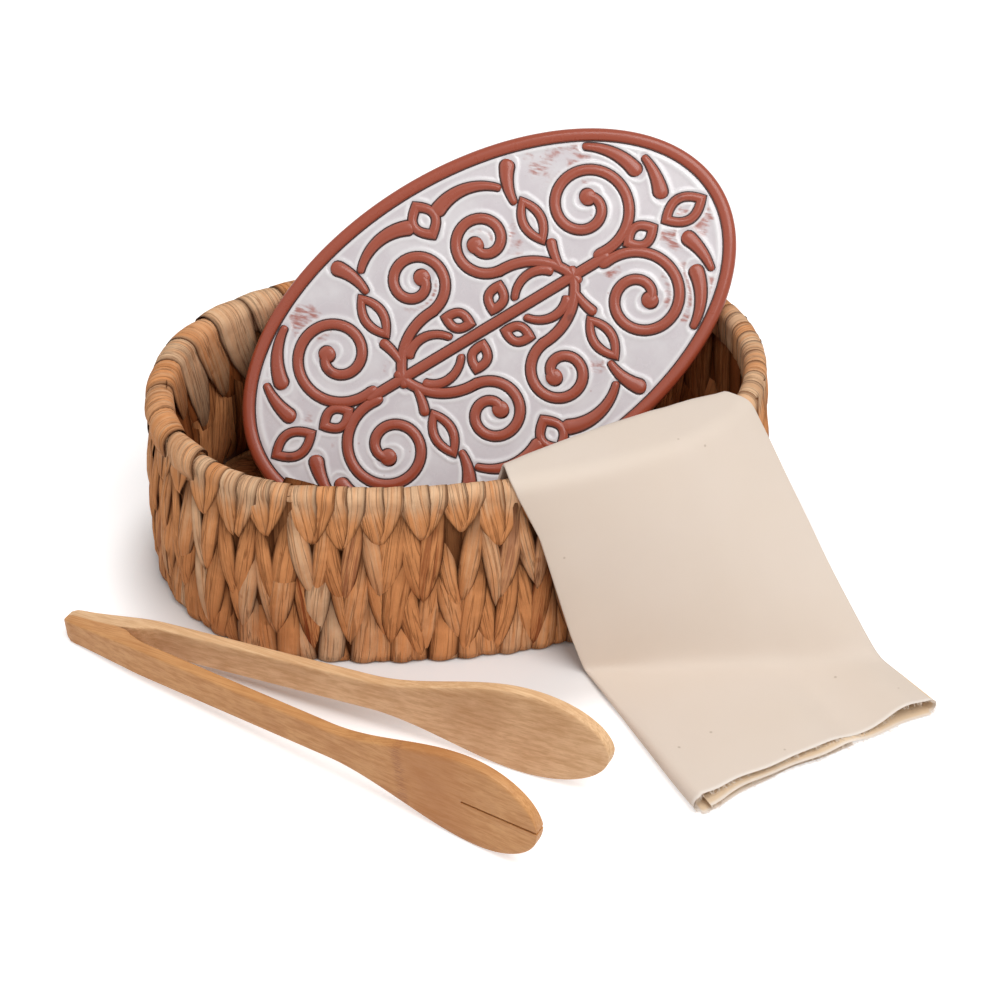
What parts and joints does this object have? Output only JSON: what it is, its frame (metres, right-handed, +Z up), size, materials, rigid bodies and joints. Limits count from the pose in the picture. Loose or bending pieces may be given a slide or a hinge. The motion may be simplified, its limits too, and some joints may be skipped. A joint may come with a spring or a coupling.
{
  "type": "bread warmer basket",
  "caption": "Oval woven bread basket on a wire frame with a leaning terracotta warming tile, a folded cotton cloth over the rim and bamboo tongs beside it",
  "frame": {"origin": "The middle of the basket's underside, on the table", "axes": "+X along the basket to the right of the picture, +Y to the back, +Z up"},
  "size_m": [0.3952, 0.3468, 0.173],
  "materials": {
    "weave": "matte",
    "wire": "satin",
    "terracotta": "satin",
    "glaze": "gloss",
    "cotton": "matte",
    "bamboo": "satin"
  },
  "bodies": {
    "basket": {"base_mat": "weave", "base_wire": "wire", "cross_wires": "wire", "upright_wires": "wire", "weave_course_1": "weave", "weave_course_2": "weave", "weave_course_3": "weave", "weave_course_4": "weave", "hoop_wire_1": "wire", "hoop_wire_2": "wire", "hoop_wire_3": "wire", "rim_wire": "wire", "rim_binding": "weave"},
    "tile": {"warming_tile": "terracotta", "tile_glaze": "glaze"},
    "cloth": {"cloth": "cotton"},
    "tongs": {"tong_handle": "bamboo"},
    "front_arm": {"tong_arm_front": "bamboo"},
    "back_arm": {"tong_arm_back": "bamboo"}
  },
  "joints": [
    {"name": "tile_lift", "type": "slide", "parent": "basket", "child": "tile", "axis": [0, 0, 1], "range_m": [0, 0.11]},
    {"name": "cloth_lift", "type": "slide", "parent": "basket", "child": "cloth", "axis": [0, 0, 1], "range_m": [0, 0.11]},
    {"name": "tongs_lift", "type": "slide", "parent": "basket", "child": "tongs", "axis": [0, 0, 1], "range_m": [0, 0.1]},
    {"name": "front_arm_squeeze", "type": "hinge", "parent": "tongs", "child": "front_arm", "pos_m": [-0.16583, -0.08622, 0.01178], "axis": [-0.0506, 0.0417, 0.9978], "range_deg": [0, 6.2], "stiffness_Nm_per_rad": 5},
    {"name": "back_arm_squeeze", "type": "hinge", "parent": "tongs", "child": "back_arm", "pos_m": [-0.15517, -0.07329, 0.01178], "axis": [-0.0506, 0.0417, 0.9978], "range_deg": [-6.2, 0], "stiffness_Nm_per_rad": 5}
  ],
  "couplings": [
    {"joint": "back_arm_squeeze", "follows": "front_arm_squeeze", "ratio": -1}
  ]
}
